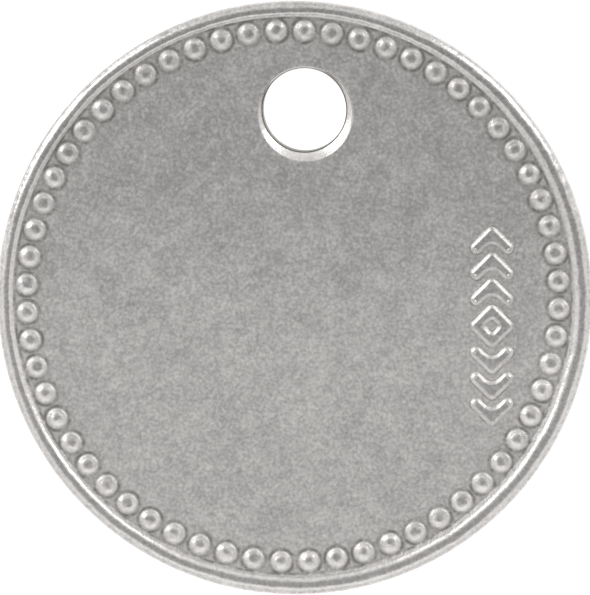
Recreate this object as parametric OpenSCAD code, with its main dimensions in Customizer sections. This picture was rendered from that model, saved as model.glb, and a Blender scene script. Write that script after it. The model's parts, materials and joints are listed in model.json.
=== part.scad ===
// Round struck fare token: a disc with a raised rim and a ring of beads on both faces, a
// hanging hole punched near its edge, and a small ornament of strokes on the front.
// It lies on its back, front up. +Z is up, the origin is under the disc's centre, and the
// hanging hole is on +Y. Everything is one piece of metal, struck and then punched.

/* [Disc] */
// Diameter over the edge
disc_d = 30; // [29:0.5:34]
// Thickness, from the crest of one rim to the crest of the other
disc_t = 2; // [1.8:0.1:2.6]

/* [Rim] */
// Height of the rim above the field, on each face
rim_h = 0.21; // [0.2:0.01:0.24]
// Width of the rim, from the edge to its foot on the field
rim_w = 0.97; // [0.9:0.01:1.1]
// Distance from the edge to the crest, the highest line of the rim
crest_in = 0.49; // [0.45:0.01:0.5]
// Width of the flat that is worn on the crest, which the token lies on
crest_w = 0.04; // [0.04:0.01:0.12]
// Radius of the rim's round top on the inner side of that flat
inner_round = 0.4; // [0.3:0.02:0.44]
// Radius of the rim's round top on its outer side
outer_round = 0.5; // [0.5:0.02:0.6]

/* [Beads] */
// Beads round each face
bead_count = 60; // [48:4:60]
// Diameter of a bead where it meets the field
bead_d = 1.12; // [0.8:0.04:1.12]
// Height of a bead above the field
bead_h = 0.2; // [0.16:0.02:0.24]
// Gap between a bead and the foot of the rim
bead_gap = 0.06; // [0.04:0.02:0.2]

/* [Hanging hole] */
// Diameter of the hole
hole_d = 4.2; // [3:0.1:5]
// Distance from the disc's centre to the hole's centre
hole_y = 9.52; // [9:0.02:9.8]
// Width of the cone round the hole's front edge
lip_w = 0.3; // [0.1:0.05:0.4]
// Depth of that cone
lip_d = 0.2; // [0.05:0.05:0.3]
// Width of the small chamfer where the punch came out, on the back
break_w = 0.1; // [0.05:0.05:0.2]

/* [Ornament] */
// Distance from the disc's centre to the ornament's middle line
mark_x = 9.95; // [9:0.05:10]
// Place of its middle along that line
mark_y = -1.35; // [-2:0.05:0]
// Angle between that line and the hanging hole's, counterclockwise
mark_turn = 3; // [0:1:6]
// Width of the ornament, across its line
mark_w = 2.6; // [2:0.1:2.7]
// Width of its strokes
stroke_w = 0.65; // [0.4:0.05:0.7]
// Distance from the tip of one stroke to the tip of the next
mark_step = 1.3; // [1.2:0.05:1.4]
// Height of the ornament above the field
mark_h = 0.16; // [0.1:0.02:0.2]

/* [Hidden] */
$fn = 96;

sink = 0.1;              // how far a raised shape reaches down into the field
disc_r = disc_d / 2;
half_t = disc_t / 2;
field_r = disc_r - rim_w;
field_z = disc_t - rim_h;
crest_r = disc_r - crest_in;

// A straight slope runs from the rim's foot up to where it touches the round top.
round_in = crest_r - crest_w / 2 - field_r;
round_up = rim_h - inner_round;
slope = atan2(round_up, round_in) + asin(inner_round / norm([round_in, round_up]));
hole_r = hole_d / 2;

bead_circle_r = field_r - bead_gap - bead_d / 2;
bead_ball_r = cap_radius(bead_d / 2, bead_h);

// A stroke at 45 degrees is this wide when it is measured along the ornament's line.
stroke_along = stroke_w * sqrt(2);
chevrons_each_way = 3;

// Radius of the ball whose cap has this half width and this height.
function cap_radius(half_w, h) = (pow(half_w, 2) + pow(h, 2)) / (2 * h);

// Half of the disc's section, from its middle plane up to the crest of one rim. Inside the
// crest the round top runs into a straight slope; outside it the edge cuts the round top off.
module half_section() {
    inner_x = crest_r - crest_w / 2;
    inner_z = half_t - inner_round;
    intersection() {
        square([disc_r, half_t]);
        union() {
            square([disc_r, half_t - outer_round]);
            translate([inner_x, 0]) square([crest_w, half_t]);
            translate([inner_x, inner_z]) circle(inner_round);
            translate([inner_x + crest_w, half_t - outer_round]) circle(outer_round);
            polygon([
                [0, 0],
                [crest_r, 0],
                [crest_r, inner_z],
                [inner_x - inner_round * sin(slope), inner_z + inner_round * cos(slope)],
                [field_r, half_t - rim_h],
                [0, half_t - rim_h],
            ]);
        }
    }
}

module blank() {
    translate([0, 0, half_t]) rotate_extrude($fn = 360) {
        half_section();
        mirror([0, 1]) half_section();
    }
}

// A bead on a field at z = 0: the cap of a ball.
module bead() {
    rotate_extrude($fn = 32) translate([0, -sink]) intersection() {
        translate([0, sink + bead_h - bead_ball_r]) circle(bead_ball_r);
        square([bead_ball_r, sink + bead_h]);
    }
}

// The beads of one face. One of them is in line with the hanging hole.
module bead_ring() {
    for (i = [0 : bead_count - 1])
        rotate(90 + i * 360 / bead_count) translate([bead_circle_r, 0]) bead();
}

// What is taken away for the hole, with the cone on the front and the chamfer on the back. Each
// cone goes on at its own angle into the air.
module punched_hole() {
    translate([0, 0, -1]) cylinder(r = hole_r, h = disc_t + 2);
    translate([0, 0, field_z - lip_d])
        cylinder(r1 = hole_r, r2 = hole_r + 3 * lip_w, h = 3 * lip_d);
    translate([0, 0, rim_h - 1])
        cylinder(r1 = hole_r + break_w + 1, r2 = hole_r, h = break_w + 1);
}

// An open arrowhead whose tip is at the origin and which points along +Y.
module chevron() {
    reach = mark_w / 2;
    across = stroke_along / 2;
    polygon([
        [0, 0],
        [reach, -reach],
        [reach - across, -reach - across],
        [0, -stroke_along],
        [across - reach, -reach - across],
        [-reach, -reach],
    ]);
}

// An outline of a square that stands on its corner, with its centre at the origin.
module lozenge() {
    reach = mark_w / 2;
    inner = reach - stroke_along;
    difference() {
        polygon([[reach, 0], [0, reach], [-reach, 0], [0, -reach]]);
        polygon([[inner, 0], [0, inner], [-inner, 0], [0, -inner]]);
    }
}

// A lozenge with open arrowheads on both sides of it, pointing away along its line.
module ornament() {
    rotate(mark_turn) translate([mark_x, mark_y, -sink])
        linear_extrude(sink + mark_h) {
            lozenge();
            for (way = [0, 180], i = [1 : chevrons_each_way])
                rotate(way) translate([0, mark_w / 2 + i * mark_step]) chevron();
        }
}

module token() {
    color([0.66, 0.65, 0.64]) difference() {
        union() {
            blank();
            translate([0, 0, field_z]) {
                bead_ring();
                ornament();
            }
            translate([0, 0, rim_h]) mirror([0, 0, 1]) bead_ring();
        }
        translate([0, hole_y]) punched_hole();
    }
}

token();
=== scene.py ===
# %% [markdown]
# # A struck token
# A token starts as a round blank, cut from sheet metal. Two dies squeeze it once: rim, beads and
# ornament flow up into hollows in the dies, and the field between them takes the dies' fine
# grain. Last, the hanging hole is punched, and a cone cutter takes off its sharp front edge. The
# whole thing is one piece of metal, so it is one mesh here too, put together from the few shapes
# that a die maker cuts: a turned rim, one bead repeated sixty times, a few strokes and a hole.

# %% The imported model
import json
import math
import random

import bmesh
import bpy
from mathutils import Matrix, Vector, noise


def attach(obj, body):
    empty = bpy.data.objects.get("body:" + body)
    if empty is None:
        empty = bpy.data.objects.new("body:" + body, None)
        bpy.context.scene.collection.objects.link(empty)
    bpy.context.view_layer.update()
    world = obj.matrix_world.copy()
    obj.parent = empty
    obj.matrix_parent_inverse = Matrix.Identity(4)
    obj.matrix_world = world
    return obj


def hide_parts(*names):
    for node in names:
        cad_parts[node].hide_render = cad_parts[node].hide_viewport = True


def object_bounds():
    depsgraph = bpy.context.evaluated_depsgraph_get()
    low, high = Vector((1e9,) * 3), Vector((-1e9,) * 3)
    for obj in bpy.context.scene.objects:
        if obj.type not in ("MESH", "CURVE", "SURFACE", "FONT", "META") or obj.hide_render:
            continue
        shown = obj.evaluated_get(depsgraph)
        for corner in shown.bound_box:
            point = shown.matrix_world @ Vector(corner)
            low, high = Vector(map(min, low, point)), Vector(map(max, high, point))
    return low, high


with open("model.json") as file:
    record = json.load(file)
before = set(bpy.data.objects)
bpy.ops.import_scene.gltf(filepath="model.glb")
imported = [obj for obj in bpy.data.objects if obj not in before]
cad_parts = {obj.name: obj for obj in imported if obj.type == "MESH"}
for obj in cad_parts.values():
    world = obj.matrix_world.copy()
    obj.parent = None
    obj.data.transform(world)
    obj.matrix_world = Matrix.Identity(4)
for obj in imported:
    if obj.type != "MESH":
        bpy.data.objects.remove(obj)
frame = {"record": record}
cad_low, cad_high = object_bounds()
print("CAD box:", tuple(cad_low), tuple(cad_high))

# %% [markdown]
# ## Sizes
# Blender counts in metres, but a bevel of a hundredth of a millimetre is easier to read, and
# safer for the mesh tools, in millimetres. So the token is modelled in millimetres about its own
# middle plane, and scaled and lifted to its place at the very end. The outer sizes and the hole
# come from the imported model; the rest are the die's own dimensions.

# %% Sizes of the disc and of the hanging hole, in millimetres
MM = 0.001
mounts = {mount["name"]: mount for mount in frame["record"]["mounts"]}
disc_r = (cad_high.x - cad_low.x) / 2 / MM
half_t = (cad_high.z - cad_low.z) / 2 / MM
hole_r = mounts["hanging_hole"]["dims"]["r_mm"]
hole_y = mounts["hanging_hole"]["pos_m"][1] / MM
print(f"disc {2 * disc_r:.2f} x {2 * half_t:.2f} mm, hole {2 * hole_r:.2f} mm at y {hole_y:.2f} mm")

# %% Sizes of the relief, in millimetres
rim_h = 0.21  # crest above the field
field = half_t - rim_h  # the field's height over the middle plane
foot_r = disc_r - 0.97  # the rim's foot on the field
crest_r = disc_r - 0.49
crest_w = 0.04  # the crest is worn flat over this width
inner_round, outer_round = 0.4, 0.5  # radii of the round top on both sides of that flat

bead_count = 60
pitch = 2 * math.pi / bead_count
bead_r, bead_h = 0.56, 0.2
bead_circle_r = 13.41
strip = 0.02  # a narrow strip of field round each raised shape keeps shading off the field
weld = 0.0005  # vertices closer than this are one


def cap_radius(half_width, height):
    """Radius of the ball or rod whose cap is this wide and this high."""
    return (half_width ** 2 + height ** 2) / (2 * height)


# %% Small tools that every shape below uses
def chain(bm, points):
    """Single vertices joined by edges, one after the other."""
    verts = [bm.verts.new(point) for point in points]
    for a, b in zip(verts, verts[1:]):
        bm.edges.new((a, b))
    return verts


def arc_from_top(bm, top, radius, angle, steps):
    """Spin a vertex from the top of a round hump down one side of it."""
    start = bm.verts.new(top)
    middle = start.co - Vector((0, 0, radius))
    swept = bmesh.ops.spin(
        bm, geom=[start], cent=middle, axis=(0, 1, 0), dvec=(0, 0, 0), angle=angle, steps=steps
    )
    return start, swept["geom_last"][0]


def round_corner(bm, verts, width, segments):
    """Bevel vertices. On a chain of edges this turns a corner into an arc."""
    bmesh.ops.bevel(
        bm, geom=list(verts), offset=width, offset_type="OFFSET", affect="VERTICES",
        segments=segments, profile=0.5, material=-1, clamp_overlap=True,
    )


def turn(bm, steps, centre=(0, 0, 0), angle=2 * math.pi):
    """Spin all there is about an upright axis, as on a lathe."""
    bmesh.ops.spin(
        bm, geom=bm.verts[:] + bm.edges[:], cent=centre, axis=(0, 0, 1), dvec=(0, 0, 0),
        angle=angle, steps=steps, use_merge=abs(angle) > 6.28,
    )


def take_in(bm, *meshes):
    """Add finished parts to bm and drop their meshes."""
    for mesh in meshes:
        bm.from_mesh(mesh)
        bpy.data.meshes.remove(mesh)


def as_mesh(bm, name):
    mesh = bpy.data.meshes.new(name)
    bm.to_mesh(mesh)
    bm.free()
    print(f"{name}: {len(mesh.vertices)} vertices, {len(mesh.polygons)} faces")
    return mesh


# %% [markdown]
# ## Rim and edge
# A rim is the same all the way round, so its section is drawn once, as a chain of vertices from
# the front field over the edge to the back field. A straight slope rises from the field and
# touches a round top, which falls to the edge on the other side, and the very crest is worn
# flat. The back's half is a mirror image. Only one sixtieth of the turn is spun here, one
# bead's share, because it is copied later on.

# %% Section of the rim
shoulder_w = 0.045  # how much is rounded off where a round top meets the edge


def rim_section(bm):
    inward = crest_r - crest_w / 2 - foot_r
    upward = rim_h - inner_round
    slope = math.atan2(upward, inward) + math.asin(inner_round / math.hypot(inward, upward))
    inner, touch = arc_from_top(bm, (foot_r + inward, 0, half_t), inner_round, -slope, 6)
    outward = disc_r - crest_r - crest_w / 2
    edge_slope = math.asin(outward / outer_round)
    outer, _ = arc_from_top(bm, (disc_r - outward, 0, half_t), outer_round, edge_slope, 10)
    inside, outside = (round(math.degrees(angle)) for angle in (slope, edge_slope))
    print(f"rim: {inside} degrees inside, {outside} at the edge")
    bm.edges.new((inner, outer))
    foot = bm.verts.new((foot_r, 0, field))
    bm.edges.new((touch, foot))
    bm.edges.new((foot, bm.verts.new((foot_r - strip, 0, field))))
    round_corner(bm, [foot], strip / 2, 2)
    bmesh.ops.mirror(bm, geom=bm.verts[:] + bm.edges[:], axis="Z", merge_dist=-1)
    shoulders = [v for v in bm.verts if v.co.x > disc_r - weld]
    bm.edges.new(shoulders)
    round_corner(bm, shoulders, shoulder_w, 3)


def rim_share():
    """The stretch of rim that belongs to one bead."""
    bm = bmesh.new()
    rim_section(bm)
    turned = Matrix.Rotation(-pitch / 2, 3, "Z")
    bmesh.ops.rotate(bm, verts=bm.verts[:], cent=(0, 0, 0), matrix=turned)
    turn(bm, 10, angle=pitch)
    return as_mesh(bm, "rim_share")


# %% [markdown]
# ## Beads
# A bead could be pushed up out of a dense grid, but a grid gives it a stepped, many-sided foot.
# Here a bead is turned like a knob, from an arc and a narrow flat strip.

# %% One bead
def bead_mesh():
    bm = bmesh.new()
    ball_r = cap_radius(bead_r, bead_h)
    top, foot = arc_from_top(bm, (0, 0, bead_h), ball_r, math.asin(bead_r / ball_r), 9)
    bm.edges.new((foot, bm.verts.new((bead_r + strip, 0, 0))))
    turn(bm, 32)
    bmesh.ops.remove_doubles(bm, verts=bm.verts[:], dist=weld)
    bmesh.ops.translate(bm, verts=bm.verts[:], vec=(bead_circle_r, 0, field))
    return as_mesh(bm, "bead")


# %% [markdown]
# ## The ring of beads
# One share of the ring is a bead on each face, the back's a mirror image of the front's, and a
# stretch of rim outside them. The spin tool, told to duplicate, copies the share fifty-nine
# times, and merging doubles closes the rim. This is also much quicker than spinning the rim in
# six hundred steps, because each of those steps goes over the whole mesh again.

# %% One share, copied round
def ring_mesh():
    bm = bmesh.new()
    take_in(bm, bead_mesh())
    bmesh.ops.mirror(bm, geom=bm.verts[:] + bm.edges[:] + bm.faces[:], axis="Z", merge_dist=-1)
    take_in(bm, rim_share())
    bmesh.ops.spin(
        bm, geom=bm.verts[:] + bm.edges[:] + bm.faces[:], cent=(0, 0, 0), axis=(0, 0, 1),
        dvec=(0, 0, 0), angle=2 * math.pi - pitch, steps=bead_count - 1, use_duplicate=True,
    )
    bmesh.ops.remove_doubles(bm, verts=bm.verts[:], dist=weld)
    return as_mesh(bm, "ring")


# %% [markdown]
# ## Hanging hole
# The punch leaves a sharp edge on both faces. On the back it is only rounded. On the front it
# was taken off with a cone cutter that was not held quite true, so the cone is wide on one side
# of the hole and narrow on the other. The hole is another turned section, with its corners
# bevelled, spun about the hole's own axis. Then the cone's upper edge is pushed to one side, and
# the rest of it follows in proportion.

# %% Hanging hole
cone_w, cone_d = 0.3, 0.2
cone_shift = Vector((0.065, -0.185, 0))
back_round = 0.1  # radius of the edge on the back
hole_flat = 0.06  # a flat ring on each side keeps the shading of the hole's edges off the field


def hole_mesh():
    bm = bmesh.new()
    verts = chain(bm, [
        (hole_r + cone_w + hole_flat, hole_y, field),
        (hole_r + cone_w, hole_y, field),
        (hole_r, hole_y, field - cone_d),
        (hole_r, hole_y, -field),
        (hole_r + back_round + hole_flat, hole_y, -field),
    ])
    round_corner(bm, verts[1:3], 0.05, 3)
    round_corner(bm, [verts[3]], back_round, 3)
    turn(bm, 96, centre=(0, hole_y, 0))
    for v in bm.verts:
        if v.co.z > 0:
            outward = math.hypot(v.co.x, v.co.y - hole_y) - hole_r
            v.co += cone_shift * min(outward / cone_w, 1)
    return as_mesh(bm, "hole")


# %% [markdown]
# ## Ornament
# Strokes on a die are cut with a round-nosed tool, so a struck stroke has round sides and a
# narrow flat top. Each one here is a flat outline with rounded corners, filled and then raised
# by a row of insets: every inset draws the outline in a little and lifts it, as far as the
# round sides' own arc says. A corner has to be rounder than all the insets are wide, or it would
# turn inside out. The first inset stays flat and leaves a margin of field for some dirt and
# painted shade. The triangles of the first filling don't fit the narrower top, so it is filled a
# second time.

# %% Outlines of the strokes
mark_x, mark_y = 9.95, -1.35
mark_turn = math.radians(3)
mark_reach = 1.3  # half the ornament's width
mark_step = 1.3
stroke_w, stroke_h = 0.65, 0.16
margin = 0.07  # a stroke's mesh takes in this much of the field around it


def chevron(reach, width):
    """An open arrowhead with its tip at the origin, pointing along +Y."""
    across = width * math.sqrt(0.5)
    left = [(-reach, -reach), (across - reach, -reach - across)]
    right = [(-x, y) for x, y in reversed(left)]
    return [(0, 0), *left, (0, -2 * across), *right]


def lozenge(reach):
    """A square on its corner, with its centre at the origin."""
    return [(reach, 0), (0, reach), (-reach, 0), (0, -reach)]


# %% One raised stroke
def insets():
    """Width and rise of each inset: first the margin, then the round sides up to a flat top."""
    yield margin, 0
    round_r = cap_radius(stroke_w / 2, stroke_h)
    foot_angle = math.asin(stroke_w / 2 / round_r)
    angles = [foot_angle * share for share in (1, 0.85, 0.7, 0.55, 0.42, 0.3)]
    for low, high in zip(angles, angles[1:]):
        yield round_r * (math.sin(low) - math.sin(high)), round_r * (math.cos(high) - math.cos(low))


def stroke_mesh(outlines, place):
    """Fill the space inside one outline, or between two, and raise it with a round top."""
    bm = bmesh.new()
    dirt = bm.verts.layers.float.new("dirt")
    for points, radius in outlines:
        verts = chain(bm, [(x, y, 0) for x, y in points])
        bm.edges.new((verts[-1], verts[0]))
        round_corner(bm, verts, radius, 6)
    bmesh.ops.triangle_fill(bm, use_beauty=True, edges=bm.edges[:], normal=(0, 0, 1))
    top = bm.faces[:]
    for width, rise in insets():
        bmesh.ops.inset_region(
            bm, faces=top, thickness=width, depth=rise, use_boundary=True, use_even_offset=True
        )
    bmesh.ops.delete(bm, geom=top, context="FACES")
    open_top = [e for e in bm.edges if e.is_boundary and e.verts[0].co.z > weld]
    bmesh.ops.triangle_fill(bm, use_beauty=True, edges=open_top, normal=(0, 0, 1))
    # This attribute marks a stroke's foot, where the material lays dirt and painted shade.
    for v in bm.verts:
        v[dirt] = v.co.z < weld and not v.is_boundary
    bmesh.ops.transform(bm, matrix=place, verts=bm.verts[:])
    return as_mesh(bm, "stroke")


def stroke_meshes():
    """A lozenge, and three arrowheads that point away from it on either side."""
    middle = Matrix.Rotation(mark_turn, 4, "Z") @ Matrix.Translation((mark_x, mark_y, field))
    width = stroke_w + 2 * margin
    reach = mark_reach + margin / 2
    inner = lozenge(reach - math.sqrt(2) * width)
    yield stroke_mesh([(lozenge(reach), 0.38), (inner, 0.02)], middle)
    for way in (0, math.pi):
        for step in (1, 2, 3):
            out = Matrix.Translation((0, mark_reach + step * mark_step + margin, 0))
            place = middle @ Matrix.Rotation(way, 4, "Z") @ out
            yield stroke_mesh([(chevron(reach, width), 0.38)], place)


# %% [markdown]
# ## The unevenness of a struck piece
# No two beads of a die are quite alike, and a rim rises a little more here than there. Light on
# bright metal shows differences of a hundredth of a millimetre, so each bead gets its own height,
# width and place, a noise dents the beads, and a slower one moves the rim's slopes in and out. A
# blank is also never struck dead centre. The beads and the rim's foot lie a tenth of a
# millimetre off, while the crest follows the edge: so the rim's inner slope is wide on one side
# and narrow on the other. The edge and the crest's height stay, and the token keeps its size.

# %% Uneven beads and rim
off_centre = Vector((-0.09, 0.105, 0))
ring_turn = math.radians(0.55)  # how far the die was turned against the punch
dent = 0.025
slow_wave, ripple = 0.05, 0.03  # how far the rim's slopes are moved in and out
eased_w = 0.2  # the slopes come to rest over this width, at the rim's foot and at the edge


def eased(x):
    """A smooth step from 0 to 1."""
    x = min(max(x, 0), 1)
    return x * x * (3 - 2 * x)


def uneven_bead(co, side, i, height, width, place):
    """Move one point of bead number i, whose own height, width and place these are."""
    middle = Matrix.Rotation(i * pitch, 3, "Z") @ Vector((bead_circle_r, 0, co.z))
    hold = eased(2 * (1 - (co - middle).length / bead_r))
    lift = dent * hold * noise.noise(Vector((co.x * 2.3, co.y * 2.3, 5 * side)))
    moved = middle + (co - middle) * width + place
    moved.z = side * (field + (abs(co.z) - field) * height + lift)
    return moved


def uneven_rim(co, r, side):
    """Move one point of the rim's slopes; r is its distance from the axis."""
    hold = eased((r - foot_r) / eased_w) * eased((disc_r - r) / eased_w)
    slow = noise.noise(Vector((co.x * 0.45, co.y * 0.45, 3 * side)))
    quick = noise.noise(Vector((co.x * 2, co.y * 2, 9 * side)))
    outward = Vector((co.x, co.y, 0)) / r
    moved = co + outward * hold * (slow_wave * slow + ripple * quick)
    return moved + off_centre * min(max((crest_r - r) / (crest_r - foot_r), 0), 1)


def uneven(bm):
    """Move the points of the ring, and turn it; each bead's own numbers are drawn first."""
    dice = random.Random(7)
    beads = {
        (side, i): (
            dice.uniform(0.86, 0.96), dice.uniform(0.93, 0.99),
            Vector((dice.uniform(-0.01, 0.01), dice.uniform(-0.01, 0.01), 0)),
        )
        for side in (1, -1) for i in range(bead_count)
    }
    for v in bm.verts:
        r = math.hypot(v.co.x, v.co.y)
        side = 1 if v.co.z > 0 else -1
        if r < foot_r - 1.2 * strip:
            i = round(math.atan2(v.co.y, v.co.x) / pitch) % bead_count
            v.co = uneven_bead(v.co, side, i, *beads[side, i]) + off_centre
        else:
            v.co = uneven_rim(v.co, r, side)
    turned = Matrix.Rotation(ring_turn, 3, "Z")
    bmesh.ops.rotate(bm, verts=bm.verts[:], cent=(0, 0, 0), matrix=turned)


# %% [markdown]
# ## Putting the token together
# Ring, hole and strokes don't touch: what is missing between them is the flat field of each
# face. A triangle fill closes everything between the open edges of one face. As the field is
# flat, its long thin triangles do no harm.

# %% Fill the fields between the parts
def whole_token():
    bm = bmesh.new()
    take_in(bm, ring_mesh())
    uneven(bm)
    take_in(bm, hole_mesh(), *stroke_meshes())
    for side in (1, -1):
        rims = [e for e in bm.edges if e.is_boundary and e.verts[0].co.z * side > 0]
        bmesh.ops.triangle_fill(bm, use_beauty=True, edges=rims, normal=(0, 0, side))
    bmesh.ops.recalc_face_normals(bm, faces=bm.faces[:])
    open_edges = sum(not e.is_manifold for e in bm.edges)
    print(f"token: {open_edges} open edges, {bm.calc_volume():.1f} mm3")
    return bm


# %% The finished token
def token_object():
    bm = whole_token()
    bmesh.ops.scale(bm, verts=bm.verts[:], vec=(MM, MM, MM))
    bmesh.ops.translate(bm, verts=bm.verts[:], vec=(0, 0, half_t * MM))
    for face in bm.faces:
        face.smooth = True
    made = bpy.data.objects.new("struck_token", as_mesh(bm, "struck_token"))
    bpy.context.scene.collection.objects.link(made)
    return made


token = token_object()
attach(token, "root")
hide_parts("token")

# %% [markdown]
# ## Shader sums in Python
# A procedural finish is mostly arithmetic on positions, and arithmetic is easier to read as
# Python than as a web of Math nodes. A Wire holds one node's output. Adding or multiplying
# wires adds the Math nodes behind the scene, and every other node comes from its method node().

# %% One class for node sums
class Wire:
    """A node's output that can be used in sums; each operator adds a Math node."""

    def __init__(self, tree, socket=None):
        self.tree, self.socket = tree, socket

    def node(self, kind, settings=None, inputs=None, output=0):
        """Add a node: its settings come first, then the values or links of its sockets."""
        made = self.tree.nodes.new("ShaderNode" + kind)
        for name, value in (settings or {}).items():
            setattr(made, name, value)
        for name, value in (inputs or {}).items():
            if isinstance(value, Wire):
                self.tree.links.new(value.socket, made.inputs[name])
            else:
                made.inputs[name].default_value = value
        return Wire(self.tree, made.outputs[output] if made.outputs else None)

    def math(self, operation, *values):
        return self.node("Math", {"operation": operation}, dict(enumerate((self, *values))))

    def __add__(self, other):
        return self.math("ADD", other)

    def __sub__(self, other):
        return self.math("SUBTRACT", other)

    def __rsub__(self, other):
        return self.math("MULTIPLY", -1) + other

    def __mul__(self, other):
        return self.math("MULTIPLY", other)

    def __truediv__(self, other):
        return self.math("DIVIDE", other)

    __radd__ = __add__
    __rmul__ = __mul__

    def ramp(self, start, end):
        """0 below start, 1 above end, and a smooth rise between them."""
        ends = {"From Min": start, "From Max": end}
        return self.node("MapRange", {"interpolation_type": "SMOOTHSTEP"}, {"Value": self, **ends})

    def bump(self, centre, width):
        """1 where this equals centre, and 0 further than width away."""
        return 1 - ((self - centre) / width).math("ABSOLUTE").ramp(0, 1)


def new_material(name):
    made = bpy.data.materials.new(name)
    made.use_nodes = True
    made.node_tree.nodes.clear()
    return made, Wire(made.node_tree)


def colour_mix(factor, low, high):
    """Mix two colours; the colour sockets of a Mix node are its inputs 6 and 7."""
    return factor.node("Mix", {"data_type": "RGBA"}, {0: factor, 6: low, 7: high}, output=2)


# %% [markdown]
# ## The metal
# The whole token is one bare white metal, so it has one material, and what sets its areas apart
# is how they were made and worn. The field keeps the fine matt grain of a blasted die, and is
# painted a little brighter towards the bottom of the picture, away from the hole: painted light,
# as if more light fell on the near half. Beads and rim have been rubbed smoother by other tokens
# and by pockets. Dirt and painted shade lie in patches at the foot of each raised thing, and the
# hole's wall is painted dark all over as painted shade. The edge was squeezed against a steel
# collar and the hole was cut, so both are smooth but for fine upright scores, and the cone round
# the hole is the brightest metal of all. These areas can be told apart by height, and by
# distance from the token's axis, the hole's and the beads' own, so the pattern needs little more
# than Object coordinates. Only the strokes have no such rule, and their mesh carries an attribute
# that says where their dirt and painted shade lie.

# %% Where on the token
def places(start):
    """Object coordinates in millimetres, with the distances that the finish depends on."""
    spot = start.node("TexCoord", output="Object")
    spot = start.node("VectorMath", {"operation": "SCALE"}, {0: spot, "Scale": 1 / MM})
    x, y, z = (start.node("SeparateXYZ", inputs={0: spot}, output=name) for name in "XYZ")
    height = (z - half_t).math("ABSOLUTE")
    return spot, x, y, height


def length(x, y):
    return (x * x + y * y).math("SQRT")


def from_bead(x, y):
    """Distance from the nearest bead's centre, by turning every bead's share onto one."""
    radius, angle = length(x, y), y.math("ARCTAN2", x) - ring_turn
    aside = angle - (angle / pitch).math("ROUND") * pitch
    return length(radius * aside.math("COSINE") - bead_circle_r, radius * aside.math("SINE"))


def grain(spot, per_mm, detail, stretch=(1, 1, 1)):
    """Noise from 0 to 1 whose features are about 1 / per_mm millimetres wide."""
    squeezed = spot.node("VectorMath", {"operation": "MULTIPLY"}, {0: spot, 1: stretch})
    return spot.node("TexNoise", None, {"Vector": squeezed, "Scale": per_mm, "Detail": detail})


# %% Struck metal
bright_metal = (0.86, 0.84, 0.826, 1)
dull_metal = (0.41, 0.4, 0.394, 1)
# A dark colour for dirt, and for painted shade at the feet of raised things and on the hole's wall.
grime_and_shade = (0.1, 0.095, 0.07, 1)


def struck_metal():
    material, start = new_material("struck_metal")
    spot, x, y, height = places(start)
    die_x, die_y = x - off_centre.x, y - off_centre.y
    from_die_axis = length(die_x, die_y)
    from_hole = length(x, y - hole_y)
    fine, medium, broad = grain(spot, 6, 2), grain(spot, 2, 3), grain(spot, 0.5, 3)

    proud = height.ramp(field + 0.03, field + 0.12)
    rubbed = proud * from_die_axis.ramp(bead_circle_r - bead_r - 0.2, bead_circle_r - bead_r)
    cut = 1 - height.ramp(field - 0.03, field - 0.005)
    wall = 1 - from_hole.ramp(hole_r + 0.04, hole_r + 0.08)
    cone = cut * (1 - wall) * (1 - from_hole.ramp(hole_r + 0.6, hole_r + 0.8))
    on_field = (1 - proud) * (1 - cut)

    # Dirt and painted shade: the colour darkens in patches at the foot of every bead, the rim and
    # each stroke, where dirt gathers and shade falls; the hole's wall is painted dark all over as
    # painted shade.
    beads_foot = from_bead(die_x, die_y).bump(bead_r + 0.06, 0.17)
    rims_foot = from_die_axis.bump(foot_r + 0.02, 0.13)
    marks_foot = start.node("Attribute", {"attribute_name": "dirt"}, output="Fac")
    foot = beads_foot.math("MAXIMUM", rims_foot).math("MAXIMUM", marks_foot)
    dirt = (foot * (0.18 + 0.55 * medium.ramp(0.35, 0.65))).math("MAXIMUM", wall * 0.8)

    # Painted light: the field is painted brighter towards the bottom of the picture, away from the
    # hole, as if more light fell on the near half.
    painted_front_light = 0.06 - y.ramp(-4, 8) * 0.38
    grains = (broad - 0.5) * 0.4 + (medium - 0.5) * 0.75 + (fine - 0.5) * 1.4
    mottle = 0.5 + painted_front_light + grains + rubbed * 0.35 + cone * 0.8
    metal = colour_mix(mottle.ramp(-0.5, 1.5), dull_metal, bright_metal)
    colour = colour_mix(dirt, metal, grime_and_shade)
    uneven_grain = (broad - 0.5) * 0.1 + (fine - 0.5) * 0.2
    rough = 0.46 + uneven_grain - (proud + rubbed) * 0.12 - cut * 0.2 + dirt * 0.15

    scores = grain(spot, 9, 2, stretch=(1, 1, 0.03))
    relief = (fine * 1.4 + medium) * (0.3 + on_field * 0.7) + scores * cut * 0.2
    normal = start.node("Bump", None, {"Strength": 1.0, "Distance": 0.02 * MM, "Height": relief})
    shader = start.node("BsdfPrincipled", None, {
        "Base Color": colour, "Metallic": 1.0, "Roughness": rough, "Normal": normal,
    })
    start.node("OutputMaterial", None, {"Surface": shader})
    return material


token.data.materials.append(struck_metal())

# %% [markdown]
# ## Floor and light
# Metal looks like whatever it mirrors, so the light matters as much as the material. The token
# lies on a white table under a light tent with a gap at its top: the tent is a world that is
# dim overhead, bright all round at middling height and duller near the horizon. Two soft
# boxes, the left one stronger, put highlights on the upper side of every bead. A small card
# close to the front lifts the near half of the field a little.

# %% Directions for the view: the ornament runs up the picture
view_right = Vector((math.cos(mark_turn), math.sin(mark_turn), 0))
view_up = Vector((-math.sin(mark_turn), math.cos(mark_turn), 0))
centre = Vector((0, 0, half_t * MM))


def toward(azimuth, from_zenith):
    """A unit vector: azimuth counts from the picture's right to its top, in degrees."""
    a, t = math.radians(azimuth), math.radians(from_zenith)
    flat = view_right * math.cos(a) + view_up * math.sin(a)
    return flat * math.sin(t) + Vector((0, 0, math.cos(t)))


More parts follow.
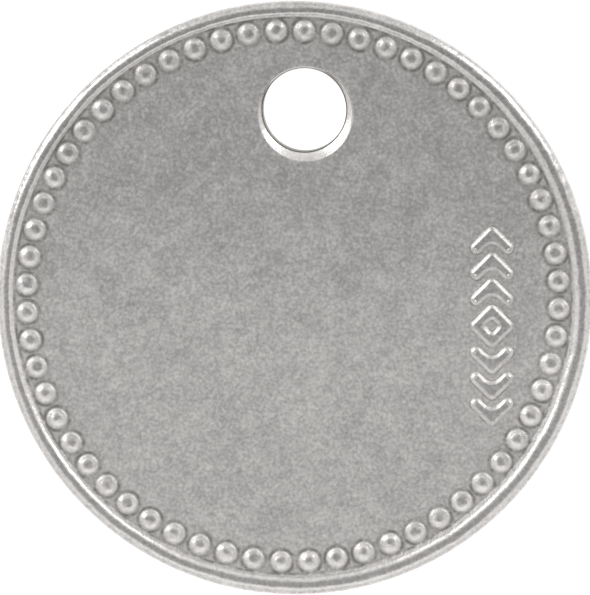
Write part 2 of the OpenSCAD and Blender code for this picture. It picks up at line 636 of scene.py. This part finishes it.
# %% Table
def table():
    """A wide square just under the token, bright enough to look white all over."""
    bm = bmesh.new()
    bmesh.ops.create_grid(bm, x_segments=1, y_segments=1, size=2)
    bmesh.ops.translate(bm, verts=bm.verts[:], vec=(0, 0, -0.02 * MM))
    made = bpy.data.objects.new("table", as_mesh(bm, "table"))
    bpy.context.scene.collection.objects.link(made)
    material, start = new_material("white_table")
    shader = start.node("BsdfPrincipled", None, {
        "Base Color": (0.86, 0.86, 0.86, 1), "Roughness": 0.6, "Emission Color": (1, 1, 1, 1),
        "Emission Strength": 0.7,
    })
    start.node("OutputMaterial", None, {"Surface": shader})
    made.data.materials.append(material)


table()


# %% Light tent
def tent():
    """A world whose brightness depends on the angle from overhead, plain white to the camera."""
    world = bpy.data.worlds.new("tent")
    world.use_nodes = True
    world.node_tree.nodes.clear()
    start = Wire(world.node_tree)
    ray = start.node("TexCoord", output="Generated")
    up = start.node("SeparateXYZ", inputs={0: ray}, output="Z")
    angle = up.math("ARCCOSINE") * (180 / math.pi)
    band = angle.ramp(15, 45) * (1 - 0.45 * angle.ramp(60, 85))
    seen = start.node("LightPath", output="Is Camera Ray")
    light = start.node("Background", None, {
        "Color": (1, 0.995, 0.985, 1), "Strength": (0.38 + 0.5 * band) * (1 - seen) + 0.95 * seen,
    })
    start.node("OutputWorld", None, {"Surface": light})
    bpy.context.scene.world = world


tent()


# %% Soft boxes
def soft_box(name, azimuth, from_zenith, distance, size, brightness):
    """An area lamp that faces the token and looks equally bright at any size and distance."""
    lamp = bpy.data.lights.new(name, "AREA")
    lamp.shape = "RECTANGLE"
    lamp.size, lamp.size_y = size
    lamp.energy = brightness * math.pi * lamp.size * lamp.size_y
    made = bpy.data.objects.new(name, lamp)
    made.location = centre + toward(azimuth, from_zenith) * distance
    made.rotation_euler = toward(azimuth, from_zenith).to_track_quat("Z", "Y").to_euler()
    made.visible_camera = False
    bpy.context.scene.collection.objects.link(made)
    print(f"{name}: {lamp.energy:.2f} W at {azimuth} degrees, {from_zenith} from overhead")


soft_box("left_box", 145, 54, 0.6, (0.32, 0.2), 3.4)
soft_box("right_box", 42, 57, 0.6, (0.26, 0.18), 3.0)
soft_box("front_card", -92, 40, 0.12, (0.1, 0.06), 0.2)

# %% [markdown]
# ## Camera
# A long lens far away keeps the circle a circle. The camera stands a few degrees to the upper
# right of the axis, which lets it see a sliver of the hole's wall.

# %% Camera
camera_distance = 0.5
camera = bpy.data.objects.new("camera", bpy.data.cameras.new("camera"))
camera.data.sensor_width = 36
camera.data.lens = 600
back = toward(62, 5)
right = view_up.cross(back).normalized()
turned = Matrix((right, back.cross(right), back)).transposed().to_4x4()
camera.matrix_world = Matrix.Translation(centre + back * camera_distance) @ turned
bpy.context.scene.collection.objects.link(camera)
bpy.context.scene.camera = camera
bpy.context.scene.view_settings.view_transform = "Standard"
width_seen = camera_distance * camera.data.sensor_width / camera.data.lens
print(f"camera sees {width_seen / MM:.1f} mm across")
